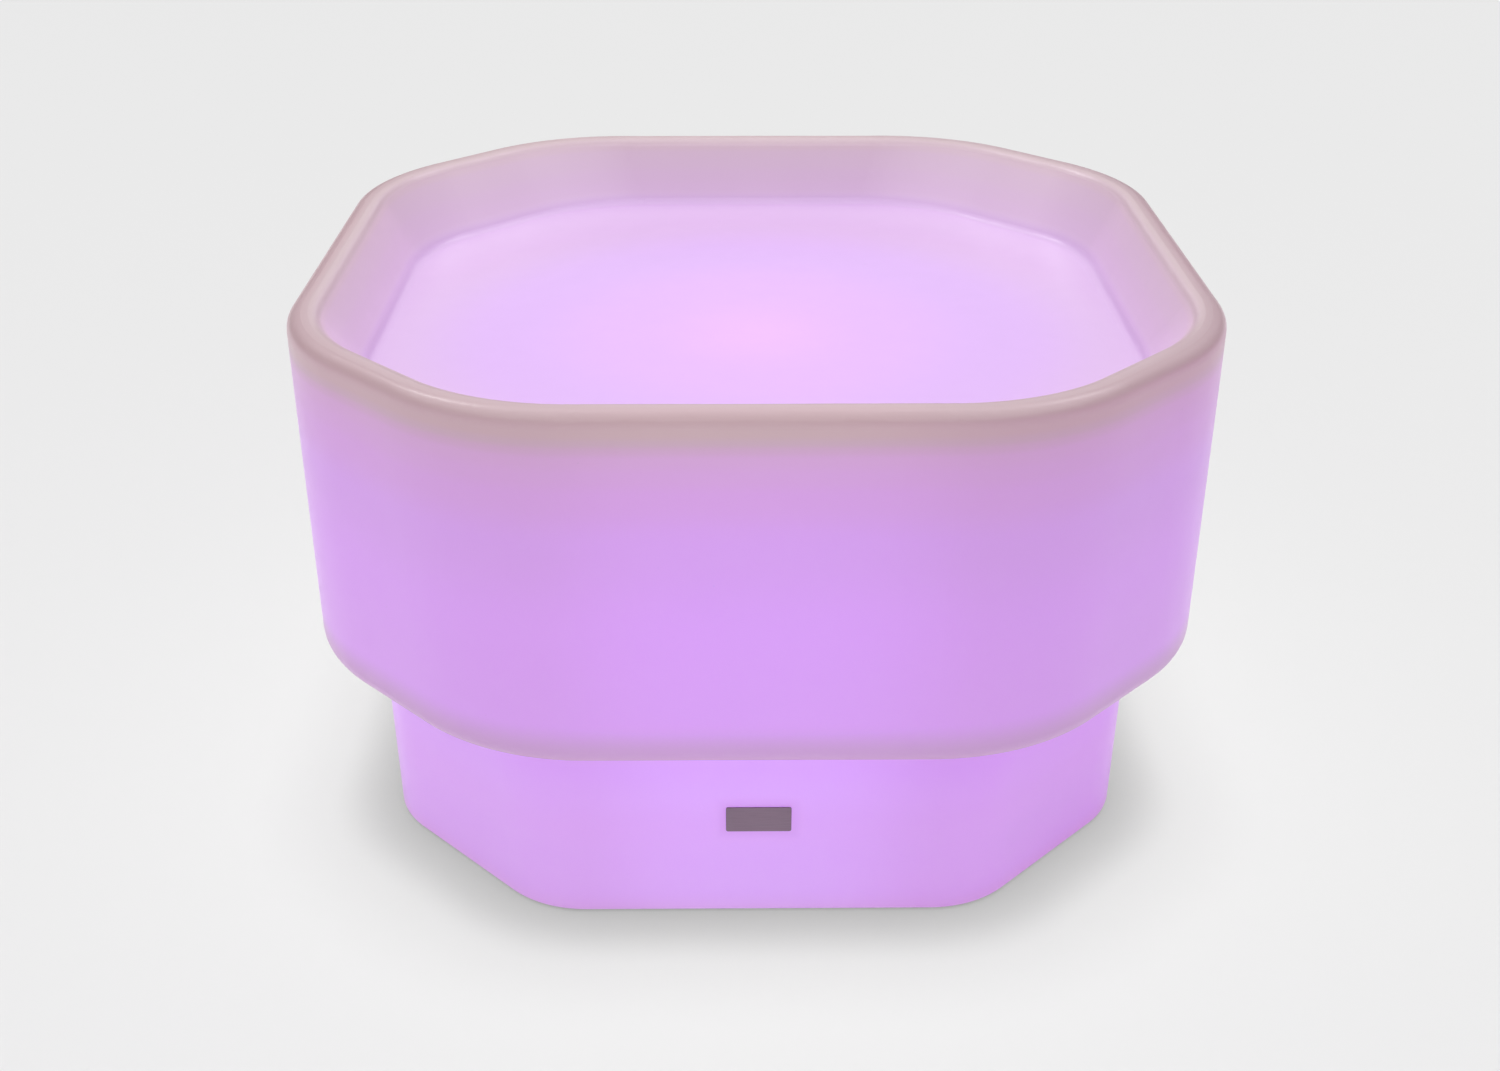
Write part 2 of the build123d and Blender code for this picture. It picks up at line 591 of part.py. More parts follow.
def make_led_board():
    """The round aluminium board that carries the lights."""
    board = disc_at(0, 0, LED_BOARD_RADIUS, LED_BOARD_Z, LED_BOARD_TOP)
    for x, y in pillar_places():
        board -= disc_at(x, y, SMALL_SCREW_RADIUS + SMALL_HOLE_CLEARANCE, LED_BOARD_Z, LED_BOARD_TOP)
    return board


def led_places():
    """The x, y and turn of each light, in rings round the receiver."""
    places = []
    for count, radius in LED_RINGS:
        for k in range(count):
            turn = 360 * (k + 0.5) / count
            places.append((radius * cos(radians(turn)), radius * sin(radians(turn)), turn))
    return places


def make_leds():
    """The square colour lights, each with a round dished window."""
    leds = []
    for x, y, turn in led_places():
        chip = extrude(Rectangle(LED_SIDE, LED_SIDE), LED_HEIGHT)
        chip -= disc_at(0, 0, LED_WINDOW_RADIUS, LED_HEIGHT - LED_WINDOW_DEPTH, LED_HEIGHT)
        leds.append(Pos(x, y, LED_BOARD_TOP) * Rot(0, 0, turn) * chip)
    return leds


def make_remote_receiver():
    """The infrared receiver in the middle of the light board, with its round lens on top."""
    top = LED_BOARD_TOP + RECEIVER_HEIGHT
    case = block_at(0, 0, RECEIVER_SIDE, RECEIVER_SIDE, LED_BOARD_TOP, top)
    case = chamfer(edges_at(case, top), RECEIVER_CHAMFER)
    return case + Pos(0, 0, top) * Sphere(RECEIVER_LENS_RADIUS)


def cell_centres():
    """The y of each cell's axis."""
    middle = (CELL_COUNT - 1) / 2
    return [BATTERY_CENTRE_Y + (k - middle) * CELL_PITCH for k in range(CELL_COUNT)]


def make_battery_cells():
    """Round cells side by side, each with its contact button on one end."""
    cells = []
    can = CELL_LENGTH - CELL_BUTTON_HEIGHT
    for y in cell_centres():
        cell = extrude(Plane.YZ * Circle(CELL_RADIUS), can)
        cell = fillet(cell.edges(), CELL_EDGE_ROUND)
        cell += Plane.YZ.offset(can) * extrude(Circle(CELL_BUTTON_RADIUS), CELL_BUTTON_HEIGHT)
        cells.append(Pos(-CELL_LENGTH / 2, y, CELL_BOTTOM_Z + CELL_RADIUS) * cell)
    return cells


def make_cell_tabs():
    """Nickel strips that join the cells at each end."""
    z = CELL_BOTTOM_Z + CELL_RADIUS
    reach = CELL_LENGTH / 2 + TAB_THICKNESS / 2
    width = CELL_BLOCK_WIDTH - CELL_RADIUS
    return [block_at(side * reach, BATTERY_CENTRE_Y, TAB_THICKNESS, width, z - TAB_HEIGHT / 2,
                     z + TAB_HEIGHT / 2) for side in (1, -1)]


def control_post_places():
    """Where the control board's posts stand on the holder."""
    reach_x = CONTROL_BOARD_SIZE[0] / 2 - CONTROL_POST_INSET
    reach_y = CONTROL_BOARD_SIZE[1] / 2 - CONTROL_POST_INSET
    return [(sx * reach_x, BATTERY_CENTRE_Y + sy * reach_y) for sx in (1, -1) for sy in (1, -1)]


def make_battery_holder():
    """A bridge over the cells: two end walls, a slotted top and the posts for the control board."""
    size_x, size_y = HOLDER_SIZE
    holder = block_at(0, BATTERY_CENTRE_Y, size_x, size_y, CUP_FLOOR_TOP, HOLDER_TOP_Z)
    for side in (1, -1):
        holder -= disc_at(side * BATTERY_WIRE_X, BATTERY_CENTRE_Y, WIRE_CHANNEL_RADIUS,
                          CELL_BOTTOM_Z + CELL_RADIUS, HOLDER_TOP_Z)
    holder -= block_at(0, BATTERY_CENTRE_Y, 2 * HOLDER_INNER_HALF, size_y, CUP_FLOOR_TOP,
                       HOLDER_TOP_Z - HOLDER_TOP)
    for y in cell_centres():
        holder -= block_at(0, y, CELL_LENGTH / 2, CELL_RADIUS, HOLDER_TOP_Z - HOLDER_TOP, HOLDER_TOP_Z,
                           HOLDER_SLOT_CORNER)
    for x, y in control_post_places():
        holder += disc_at(x, y, CONTROL_POST_RADIUS, HOLDER_TOP_Z, CONTROL_BOARD_Z)
        holder -= disc_at(x, y, SMALL_SCREW_RADIUS, HOLDER_TOP_Z, CONTROL_BOARD_Z)
    return holder


def make_control_board():
    """The controller's circuit board."""
    board = block_at(0, BATTERY_CENTRE_Y, *CONTROL_BOARD_SIZE, CONTROL_BOARD_Z, CONTROL_BOARD_TOP,
                     CONTROL_BOARD_CORNER)
    for x, y in control_post_places():
        board -= disc_at(x, y, SMALL_SCREW_RADIUS + SMALL_HOLE_CLEARANCE, CONTROL_BOARD_Z, CONTROL_BOARD_TOP)
    return board


def make_control_board_screws():
    """Four screws that hold the control board on its posts."""
    length = CONTROL_POST_HEIGHT + CONTROL_BOARD_THICKNESS
    return [small_screw(x, y, CONTROL_BOARD_TOP, length, upward=-1) for x, y in control_post_places()]


def make_control_chips():
    """The controller and charger chips, two coils and four capacitors on the control board."""
    z = CONTROL_BOARD_TOP
    row = BATTERY_CENTRE_Y + CHIP_ROW
    low_row = BATTERY_CENTRE_Y + CAPACITOR_ROW
    chips = [block_at(-COIL_PITCH, row, CHIP_SIDE, CHIP_SIDE, z, z + CHIP_HEIGHT)]
    for k in range(2):
        chips.append(block_at(COIL_SIDE + k * COIL_PITCH, row, COIL_SIDE, COIL_SIDE, z, z + COIL_HEIGHT,
                              COIL_CORNER))
    for k in range(CAPACITOR_COUNT):
        x = (k - CAPACITOR_COUNT / 2) * CAPACITOR_PITCH
        chips.append(disc_at(x, low_row, CAPACITOR_RADIUS, z, z + CAPACITOR_HEIGHT))
    after = (CAPACITOR_COUNT / 2) * CAPACITOR_PITCH
    chips.append(block_at(after, low_row, CHIP_SIDE / 2, CHIP_SIDE / 2, z, z + CHIP_HEIGHT))
    return chips


def door_plate(bottom, top):
    """The door's outline, with its clearance in the recess, as a plate."""
    return block_at(0, BATTERY_CENTRE_Y, DOOR_SIZE[0] - 2 * DOOR_CLEARANCE, DOOR_SIZE[1] - 2 * DOOR_CLEARANCE,
                    bottom, top, DOOR_CORNER - DOOR_CLEARANCE)


def make_battery_door():
    """The plate under the cells, with two ribs that hold them up against the holder."""
    door = door_plate(FLANGE_BOTTOM, DOOR_TOP)
    for x in (CELL_LENGTH / 4, -CELL_LENGTH / 4):
        door += block_at(x, BATTERY_CENTRE_Y, DOOR_RIB_WIDTH, CELL_BLOCK_WIDTH - CELL_RADIUS, DOOR_TOP,
                         CELL_BOTTOM_Z + CELL_RADIUS / 2)
        for y in cell_centres():
            trough = extrude(Plane.YZ * Circle(CELL_RADIUS), DOOR_RIB_WIDTH)
            door -= Pos(x - DOOR_RIB_WIDTH / 2, y, CELL_BOTTOM_Z + CELL_RADIUS) * trough
    for x, y in door_screw_places():
        door -= disc_at(x, y, SMALL_SCREW_RADIUS + SMALL_HOLE_CLEARANCE, FLANGE_BOTTOM, DOOR_TOP)
    return door


def make_door_seal():
    """The thin frame seal between the door and its ledge."""
    seal = door_plate(DOOR_TOP, DOOR_SEAT)
    seal -= block_at(0, BATTERY_CENTRE_Y, *DOOR_OPENING, DOOR_TOP, DOOR_SEAT)
    for x, y in door_screw_places():
        seal -= disc_at(x, y, DOOR_POST_RADIUS + SMALL_HOLE_CLEARANCE, DOOR_TOP, DOOR_SEAT)
    return seal


def make_door_screws():
    """Four screws that hold the battery door."""
    length = DOOR_THICKNESS + DOOR_SCREW_LENGTH
    return [small_screw(x, y, FLANGE_BOTTOM, length, upward=1) for x, y in door_screw_places()]


def make_panel_nut(x):
    """The hexagonal nut that clamps a control in the cup's floor."""
    nut = extrude(RegularPolygon(NUT_FLATS / 2, 6, major_radius=False) - Circle(BARREL_RADIUS), NUT_HEIGHT)
    return Pos(x, CONTROL_OFFSET_Y, CUP_FLOOR_TOP) * nut


def make_panel_barrel(x):
    """The bezel and barrel that a control has in the cup's floor."""
    y = CONTROL_OFFSET_Y
    bezel = disc_at(x, y, BEZEL_RADIUS, BEZEL_BOTTOM, FLANGE_BOTTOM)
    bezel = fillet(edges_at(bezel, BEZEL_BOTTOM), BEZEL_ROUND)
    return bezel + disc_at(x, y, BARREL_RADIUS, FLANGE_BOTTOM, BARREL_TOP_Z)


def make_switch_body():
    """The switch's case: a bore for the button, a shoulder for the spring and a chamber for the stem."""
    x, y = CONTROL_OFFSET_X, CONTROL_OFFSET_Y
    body = make_panel_barrel(x)
    body -= disc_at(x, y, BUTTON_RADIUS + BUTTON_CLEARANCE, BEZEL_BOTTOM, SHOULDER_BOTTOM)
    body -= disc_at(x, y, STEM_RADIUS + STEM_CLEARANCE, SHOULDER_BOTTOM, SHOULDER_TOP)
    body -= disc_at(x, y, CHAMBER_RADIUS, SHOULDER_TOP,
                    SHOULDER_TOP + SHOULDER_PLAY + STEM_HEAD_HEIGHT + 2 * BUTTON_TRAVEL)
    return body


def make_power_button():
    """The push button: a domed cap, and a stem whose head keeps it in the switch."""
    x, y = CONTROL_OFFSET_X, CONTROL_OFFSET_Y
    cap = disc_at(x, y, BUTTON_RADIUS, BUTTON_BOTTOM, BUTTON_BACK)
    cap = fillet(edges_at(cap, BUTTON_BOTTOM), BUTTON_ROUND)
    head_bottom = SHOULDER_TOP + SHOULDER_PLAY
    cap += disc_at(x, y, STEM_RADIUS, BUTTON_BACK, head_bottom)
    return cap + disc_at(x, y, STEM_HEAD_RADIUS, head_bottom, head_bottom + STEM_HEAD_HEIGHT)


def make_button_spring():
    """The return spring round the stem: one open coil between the button and the shoulder."""
    rise = SPRING_LENGTH - 2 * SPRING_WIRE_RADIUS - 2 * SPRING_SEAT_GAP
    pitch = rise / SPRING_TURNS
    gap = pitch - 2 * SPRING_WIRE_RADIUS
    print(f"button spring: least gap between turns {gap:.2f} mm")
    path = Helix(pitch, rise, SPRING_COIL_RADIUS)
    section = Plane(path @ 0, z_dir=path % 0) * Circle(SPRING_WIRE_RADIUS)
    coil = sweep(section, path, is_frenet=True)
    start_z = BUTTON_BACK + SPRING_WIRE_RADIUS + SPRING_SEAT_GAP
    return Pos(CONTROL_OFFSET_X, CONTROL_OFFSET_Y, start_z) * coil


def make_charge_socket():
    """The charging socket's case, with its round bore facing down."""
    socket = make_panel_barrel(-CONTROL_OFFSET_X)
    return socket - disc_at(-CONTROL_OFFSET_X, CONTROL_OFFSET_Y, SOCKET_BORE_RADIUS, BEZEL_BOTTOM,
                            BEZEL_BOTTOM + SOCKET_BORE_DEPTH)


def make_socket_contact():
    """The centre contact in the socket's bore, with a rounded tip."""
    tip = BEZEL_BOTTOM + CONTACT_SET_BACK
    pin = disc_at(-CONTROL_OFFSET_X, CONTROL_OFFSET_Y, CONTACT_RADIUS, tip, BEZEL_BOTTOM + SOCKET_BORE_DEPTH)
    return fillet(edges_at(pin, tip), CONTACT_RADIUS * CONTACT_ROUND_SHARE)


def anchor_place():
    """The x, y of the pad and peg that hold the cover's hinge."""
    return HINGE_X - HINGE_EYE_RADIUS - ANCHOR_GAP - ANCHOR_LENGTH / 2, CONTROL_OFFSET_Y


def hinge_barrel(radius, start, end):
    """A cylinder on the cover's hinge axis, from start to end along Y from its middle."""
    barrel = Rot(90, 0, 0) * extrude(Circle(radius), end - start)
    return Pos(HINGE_X, CONTROL_OFFSET_Y + end, HINGE_Z) * barrel


def make_port_cover():
    """The socket's hinged cover: a disc with a short bung, a pull tab, and an arm to its hinge eye."""
    x, y = -CONTROL_OFFSET_X, CONTROL_OFFSET_Y
    cover = disc_at(x, y, COVER_RADIUS, COVER_BOTTOM, COVER_TOP)
    cover += block_at((HINGE_X + x) / 2, y, HINGE_DISTANCE, ARM_WIDTH, COVER_BOTTOM, COVER_TOP)
    cover += block_at(x + COVER_RADIUS, y, 2 * COVER_TAB_REACH, COVER_TAB_WIDTH, COVER_BOTTOM, COVER_TOP,
                      COVER_TAB_WIDTH / 3)
    rim = edges_at(cover, COVER_BOTTOM).filter_by(lambda e: e.center().X > HINGE_X + HINGE_EYE_RADIUS)
    cover = fillet(rim, COVER_ROUND)
    bung = disc_at(x, y, BUNG_RADIUS, COVER_TOP, COVER_TOP + BUNG_HEIGHT)
    cover += chamfer(edges_at(bung, COVER_TOP + BUNG_HEIGHT), BUNG_CHAMFER)
    cover += hinge_barrel(HINGE_EYE_RADIUS, -ARM_WIDTH / 2, ARM_WIDTH / 2)
    return cover - hinge_barrel(HINGE_PIN_RADIUS + HINGE_CLEARANCE, -ARM_WIDTH, ARM_WIDTH)


def make_cover_anchor():
    """The fixed part of the hinge: a pad pegged into the cup's floor, with an ear each side of the arm."""
    x, y = anchor_place()
    anchor = block_at(x, y, ANCHOR_LENGTH, 2 * EAR_END, COVER_BOTTOM, FLANGE_BOTTOM)
    anchor = fillet(edges_at(anchor, COVER_BOTTOM), COVER_ROUND)
    anchor += disc_at(x, y, ANCHOR_PEG_RADIUS, FLANGE_BOTTOM, FLANGE_BOTTOM + ANCHOR_PEG_HEIGHT)
    ear_back = x + ANCHOR_LENGTH / 2
    ear_front = HINGE_X + HINGE_EYE_RADIUS
    for side in (1, -1):
        middle = y + side * (EAR_START + EAR_END) / 2
        anchor += block_at((ear_back + ear_front) / 2, middle, ear_front - ear_back, EAR_WIDTH, HINGE_Z,
                           FLANGE_BOTTOM)
        ends = sorted((side * EAR_START, side * EAR_END))
        anchor += hinge_barrel(HINGE_EYE_RADIUS, *ends)
    return anchor - hinge_barrel(HINGE_PIN_RADIUS, -EAR_END, EAR_END)


def make_hinge_pin():
    """The pin through both ears and the cover's eye."""
    pin = hinge_barrel(HINGE_PIN_RADIUS, -EAR_END, EAR_END)
    return chamfer(pin.edges().filter_by(GeomType.CIRCLE), HINGE_PIN_RADIUS / 4)


def make_status_light():
    """The small indicator that shows the charge, pressed into the cup's floor."""
    head = disc_at(0, STATUS_Y, STATUS_HEAD_RADIUS, FLANGE_BOTTOM - STATUS_HEAD_THICKNESS, FLANGE_BOTTOM)
    head = fillet(edges_at(head, FLANGE_BOTTOM - STATUS_HEAD_THICKNESS), STATUS_HEAD_ROUND)
    return head + disc_at(0, STATUS_Y, STATUS_RADIUS, FLANGE_BOTTOM, STATUS_TOP_Z)


def wire(points, bend=0.0):
    """One insulated wire along straight runs, joined by arcs where there is a bend."""
    path = FilletPolyline(*points, radius=bend) if bend else Line(*points)
    return sweep(Plane(path @ 0, z_dir=path % 0) * Circle(WIRE_RADIUS), path)


def make_lead(x, y, start_z, spacing):
    """Two wires from the back of a control, up and over the edge of the control board."""
    high = CONTROL_BOARD_TOP + LEAD_HEIGHT
    landing = BATTERY_CENTRE_Y - CONTROL_BOARD_SIZE[1] / 2 + LEAD_LANDING
    wires = []
    for at in (x - spacing, x + spacing):
        wires.append(wire([(at, y, start_z), (at, y, high), (at, landing, high),
                           (at, landing, CONTROL_BOARD_TOP)], WIRE_BEND))
    return wires


def make_led_lead():
    """Five straight wires from the control board up to the light board."""
    y = BATTERY_CENTRE_Y + CONTROL_BOARD_SIZE[1] / 2 - LEAD_LANDING
    places = [(k - (LED_WIRE_COUNT - 1) / 2) * WIRE_PITCH for k in range(LED_WIRE_COUNT)]
    return [wire([(x, y, CONTROL_BOARD_TOP), (x, y, LED_BOARD_Z)]) for x in places]


def make_battery_lead():
    """A wire from each end strip of the cells, up a channel of the holder to the control board."""
    top_of_tab = CELL_BOTTOM_Z + CELL_RADIUS + TAB_HEIGHT / 2
    return [wire([(x, BATTERY_CENTRE_Y, top_of_tab), (x, BATTERY_CENTRE_Y, CONTROL_BOARD_Z)])
            for x in (BATTERY_WIRE_X, -BATTERY_WIRE_X)]


NODES = {
    "body_shell": make_body_shell,
    "feet": make_feet,
    "badge_plate": make_badge_plate,
    "unit_gasket": make_unit_gasket,
    "thread_inserts": make_thread_inserts,
    "unit_screws": make_unit_screws,
    "unit_housing": make_unit_housing,
    "dome_seal": make_dome_seal,
    "light_dome": make_light_dome,
    "dome_screws": make_dome_screws,
    "board_pillars": make_board_pillars,
    "board_screws": make_board_screws,
    "led_board": make_led_board,
    "leds": make_leds,
    "remote_receiver": make_remote_receiver,
    "battery_cells": make_battery_cells,
    "cell_tabs": make_cell_tabs,
    "battery_holder": make_battery_holder,
    "control_board": make_control_board,
    "control_board_screws": make_control_board_screws,
    "control_chips": make_control_chips,
    "battery_door": make_battery_door,
    "door_seal": make_door_seal,
    "door_screws": make_door_screws,
    "switch_body": make_switch_body,
    "switch_nut": lambda: make_panel_nut(CONTROL_OFFSET_X),
    "power_button": make_power_button,
    "button_spring": make_button_spring,
    "charge_socket": make_charge_socket,
    "socket_nut": lambda: make_panel_nut(-CONTROL_OFFSET_X),
    "socket_contact": make_socket_contact,
    "port_cover": make_port_cover,
    "cover_anchor": make_cover_anchor,
    "hinge_pin": make_hinge_pin,
    "status_light": make_status_light,
    "switch_lead": lambda: make_lead(CONTROL_OFFSET_X, CONTROL_OFFSET_Y, BARREL_TOP_Z, WIRE_PITCH),
    "socket_lead": lambda: make_lead(-CONTROL_OFFSET_X, CONTROL_OFFSET_Y, BARREL_TOP_Z, WIRE_PITCH),
    "status_lead": lambda: make_lead(0, STATUS_Y, STATUS_TOP_Z, STATUS_PIN_SPACING),
    "led_lead": make_led_lead,
    "battery_lead": make_battery_lead,
}

for name, make in NODES.items():
    made = make()
    solids = []
    for piece in made if isinstance(made, list) else [made]:
        solids += piece.solids()
    export_step(Compound(children=solids) if len(solids) > 1 else solids[0], f"parts/{name}.step")
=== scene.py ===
from collections import namedtuple
from math import cos, pi, radians, sin, sqrt

import bpy
from mathutils import Matrix, Vector


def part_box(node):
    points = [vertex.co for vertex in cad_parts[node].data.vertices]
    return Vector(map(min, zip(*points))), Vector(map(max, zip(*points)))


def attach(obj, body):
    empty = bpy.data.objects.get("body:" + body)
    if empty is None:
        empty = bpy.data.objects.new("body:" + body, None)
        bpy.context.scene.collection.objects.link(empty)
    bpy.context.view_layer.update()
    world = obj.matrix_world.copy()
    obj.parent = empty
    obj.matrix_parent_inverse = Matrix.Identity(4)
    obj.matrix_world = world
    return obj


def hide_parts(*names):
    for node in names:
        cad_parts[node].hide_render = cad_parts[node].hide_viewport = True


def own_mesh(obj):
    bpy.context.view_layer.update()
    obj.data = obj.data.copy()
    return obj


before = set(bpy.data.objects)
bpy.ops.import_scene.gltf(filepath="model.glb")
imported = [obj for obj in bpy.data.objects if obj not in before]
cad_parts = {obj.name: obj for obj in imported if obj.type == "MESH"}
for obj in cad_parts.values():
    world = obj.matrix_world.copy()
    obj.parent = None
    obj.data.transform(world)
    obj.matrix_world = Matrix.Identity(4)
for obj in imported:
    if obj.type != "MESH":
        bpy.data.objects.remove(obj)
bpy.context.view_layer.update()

# The camera stands where the photograph was taken from, in metres and degrees. It was fitted to the
# outlines of the moulding.
PHOTO_WIDTH_PX = 1500
FOCAL_LENGTH_PX = 1783.3
CAMERA_PLACE = (-0.0168, -1.3591, 0.8689)
CAMERA_PITCH = 27.26
CAMERA_YAW = 0.55
CAMERA_ROLL = 0.06
SENSOR_WIDTH_MM = 36.0
VIEW_END = 100.0

# Heights and reaches of the moulding and its badge.
SHELL_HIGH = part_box("body_shell")[1]
RIM_TOP = SHELL_HIGH[2]
HALF_WIDTH = SHELL_HIGH[0]
TRAY_DEPTH = 0.055
TRAY_FLOOR = RIM_TOP - TRAY_DEPTH
SKIRT_FOOT = 0.165
BADGE_LOW, BADGE_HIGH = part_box("badge_plate")
BADGE_MIDDLE = [(low + high) / 2 for low, high in zip(BADGE_LOW, BADGE_HIGH)]
BADGE_HALF = [(high - low) / 2 for low, high in zip(BADGE_LOW, BADGE_HIGH)]


def opaque(red, green, blue):
    """A colour in linear values, as shaders take it."""
    return (red, green, blue, 1.0)


def grey(value):
    return opaque(value, value, value)


def srgb(red, green, blue):
    """A colour given as it looks on screen, 0 to 255 for each part."""
    def linear(value):
        value = value / 255
        return value / 12.92 if value <= 0.04045 else ((value + 0.055) / 1.055) ** 2.4
    return opaque(linear(red), linear(green), linear(blue))


def dimmed(colour, share):
    """The colour with only a share of its light."""
    return opaque(*(part * share for part in colour[:3]))


NODE_SPACING = 220


class Shader:
    """A surface material being built from nodes."""

    def __init__(self, name):
        self.material = bpy.data.materials.new(name)
        self.material.use_nodes = True
        self.tree = self.material.node_tree
        self.surface = self.tree.nodes["Principled BSDF"]
        self.place = None

    def node(self, kind, **settings):
        """Adds a node, to the left of those before it."""
        made = self.tree.nodes.new(kind)
        made.location = (-NODE_SPACING * len(self.tree.nodes), 0)
        for key, value in settings.items():
            setattr(made, key, value)
        return made

    def join(self, source, target):
        self.tree.links.new(source, target)

    def feed(self, target, value):
        """Sets a socket to a number or colour, or links it to another node's output."""
        if isinstance(value, bpy.types.NodeSocket):
            self.join(value, target)
        else:
            target.default_value = value

    def set(self, **values):
        """Feeds the surface's own sockets, each named in small letters with underscores."""
        for key, value in values.items():
            socket = key.replace("_", " ").title().replace("Ior", "IOR")
            self.feed(self.surface.inputs[socket], value)

    def position(self):
        """Where the shaded point is in the frame, in metres."""
        if self.place is None:
            self.place = self.node("ShaderNodeTexCoord").outputs["Object"]
        return self.place

    def axes(self):
        """The three coordinates of the shaded point."""
        parts = self.node("ShaderNodeSeparateXYZ")
        self.join(self.position(), parts.inputs[0])
        return parts.outputs["X"], parts.outputs["Y"], parts.outputs["Z"]

    def stretched(self, scale):
        """The position with each axis scaled, to draw noise out along one of them."""
        made = self.node("ShaderNodeVectorMath", operation="MULTIPLY")
        self.join(self.position(), made.inputs[0])
        made.inputs[1].default_value = scale
        return made.outputs[0]

    def distance(self, centre):
        """How far the point is from an upright line through the centre."""
        made = self.node("ShaderNodeVectorMath", operation="DISTANCE")
        self.join(self.stretched((1.0, 1.0, 0.0)), made.inputs[0])
        made.inputs[1].default_value = (*centre, 0.0)
        return made.outputs["Value"]

    def math(self, operation, first, second=0.0, third=0.0):
        made = self.node("ShaderNodeMath", operation=operation)
        for socket, value in zip(made.inputs, (first, second, third)):
            self.feed(socket, value)
        return made.outputs[0]

    def fade(self, value, start, end):
        """0 up to start, 1 from end on, and a smooth change between them."""
        made = self.node("ShaderNodeMapRange", interpolation_type="SMOOTHSTEP")
        self.feed(made.inputs["Value"], value)
        made.inputs["From Min"].default_value = start
        made.inputs["From Max"].default_value = end
        return made.outputs["Result"]

    def stray(self, noise, middle, spread):
        """A value that strays from the middle with the noise, by up to half the spread."""
        return self.math("MULTIPLY_ADD", noise, spread, middle - spread / 2)

    def beyond(self, value, middle, half):
        """How far a value lies outside the band that reaches half to each side of the middle."""
        return self.math("SUBTRACT", self.math("ABSOLUTE", self.math("SUBTRACT", value, middle)), half)

    def noise(self, grain, detail=2.0, vector=None, roughness=0.5):
        """Noise with lumps about grain metres across."""
        made = self.node("ShaderNodeTexNoise")
        self.join(vector or self.position(), made.inputs["Vector"])
        made.inputs["Scale"].default_value = 1 / grain
        made.inputs["Detail"].default_value = detail
        made.inputs["Roughness"].default_value = roughness
        return made.outputs["Fac"]

    def specks(self, spacing, size):
        """1 on small scattered specks, about one to each cell of the spacing that a surface cuts."""
        cells = self.node("ShaderNodeTexVoronoi")
        self.join(self.position(), cells.inputs["Vector"])
        cells.inputs["Scale"].default_value = 1 / spacing
        return self.fade(cells.outputs["Distance"], size / spacing, 0.5 * size / spacing)

    def mix(self, share, first, second, blend="MIX"):
        """The first colour, giving way to the second as the share rises."""
        made = self.node("ShaderNodeMix", data_type="RGBA", blend_type=blend)
        self.feed(made.inputs["Factor"], share)
        self.feed(made.inputs[6], first)
        self.feed(made.inputs[7], second)
        return made.outputs[2]

    def tinted(self, share, colour, tint):
        """The colour, multiplied by a tint as far as the share goes."""
        return self.mix(share, colour, self.mix(1.0, colour, tint, blend="MULTIPLY"))

    def ramp(self, value, stops, low, high):
        """A colour for each value between low and high, smooth between the stops."""
        share = self.node("ShaderNodeMapRange")
        self.feed(share.inputs["Value"], value)
        share.inputs["From Min"].default_value = low
        share.inputs["From Max"].default_value = high
        made = self.node("ShaderNodeValToRGB")
        made.color_ramp.interpolation = "EASE"
        elements = made.color_ramp.elements
        while len(elements) < len(stops):
            elements.new(0.5)
        for element, (at, *colour) in zip(elements, stops):
            element.position = (at - low) / (high - low)
            element.color = opaque(*colour)
        self.join(share.outputs["Result"], made.inputs["Fac"])
        return made.outputs["Color"]

    def bump(self, height, strength, distance):
        """Relief on the surface, as high as the distance where the strength is full."""
        made = self.node("ShaderNodeBump")
        made.inputs["Strength"].default_value = strength
        made.inputs["Distance"].default_value = distance
        self.join(height, made.inputs["Height"])
        self.join(made.outputs["Normal"], self.surface.inputs["Normal"])


# Painted glow of the outside of the shell, standing in for the light of the lamp inside shining through it:
# height, red, green, blue. It holds painted shade too: it is dimmest at the skirt's foot and on the rim,
# where the ledge and the tray's floor shade the lamp's light.
OUTER_GLOW = [
    (0.000, 0.44, 0.15, 0.61),
    (0.020, 0.43, 0.13, 0.68),
    (0.050, 0.42, 0.11, 0.68),
    (0.080, 0.43, 0.11, 0.69),
    (0.110, 0.45, 0.13, 0.74),
    (0.130, 0.46, 0.13, 0.77),
    (SKIRT_FOOT - 0.009, 0.46, 0.12, 0.72),
    (SKIRT_FOOT + 0.001, 0.235, 0.02, 0.24),
    (SKIRT_FOOT + 0.009, 0.26, 0.035, 0.34),
    (SKIRT_FOOT + 0.035, 0.38, 0.05, 0.62),
    (RIM_TOP - 0.158, 0.39, 0.05, 0.64),
    (RIM_TOP - 0.094, 0.36, 0.05, 0.57),
    (RIM_TOP - 0.058, 0.35, 0.05, 0.47),
    (RIM_TOP - 0.044, 0.34, 0.06, 0.42),
    (RIM_TOP - 0.031, 0.33, 0.07, 0.37),
    (RIM_TOP - 0.025, 0.29, 0.07, 0.28),
    (RIM_TOP - 0.020, 0.25, 0.09, 0.19),
    (RIM_TOP - 0.014, 0.25, 0.10, 0.14),
    (RIM_TOP - 0.008, 0.25, 0.10, 0.14),
    (RIM_TOP - 0.003, 0.18, 0.03, 0.06),
    (RIM_TOP, 0.185, 0.02, 0.06),
]
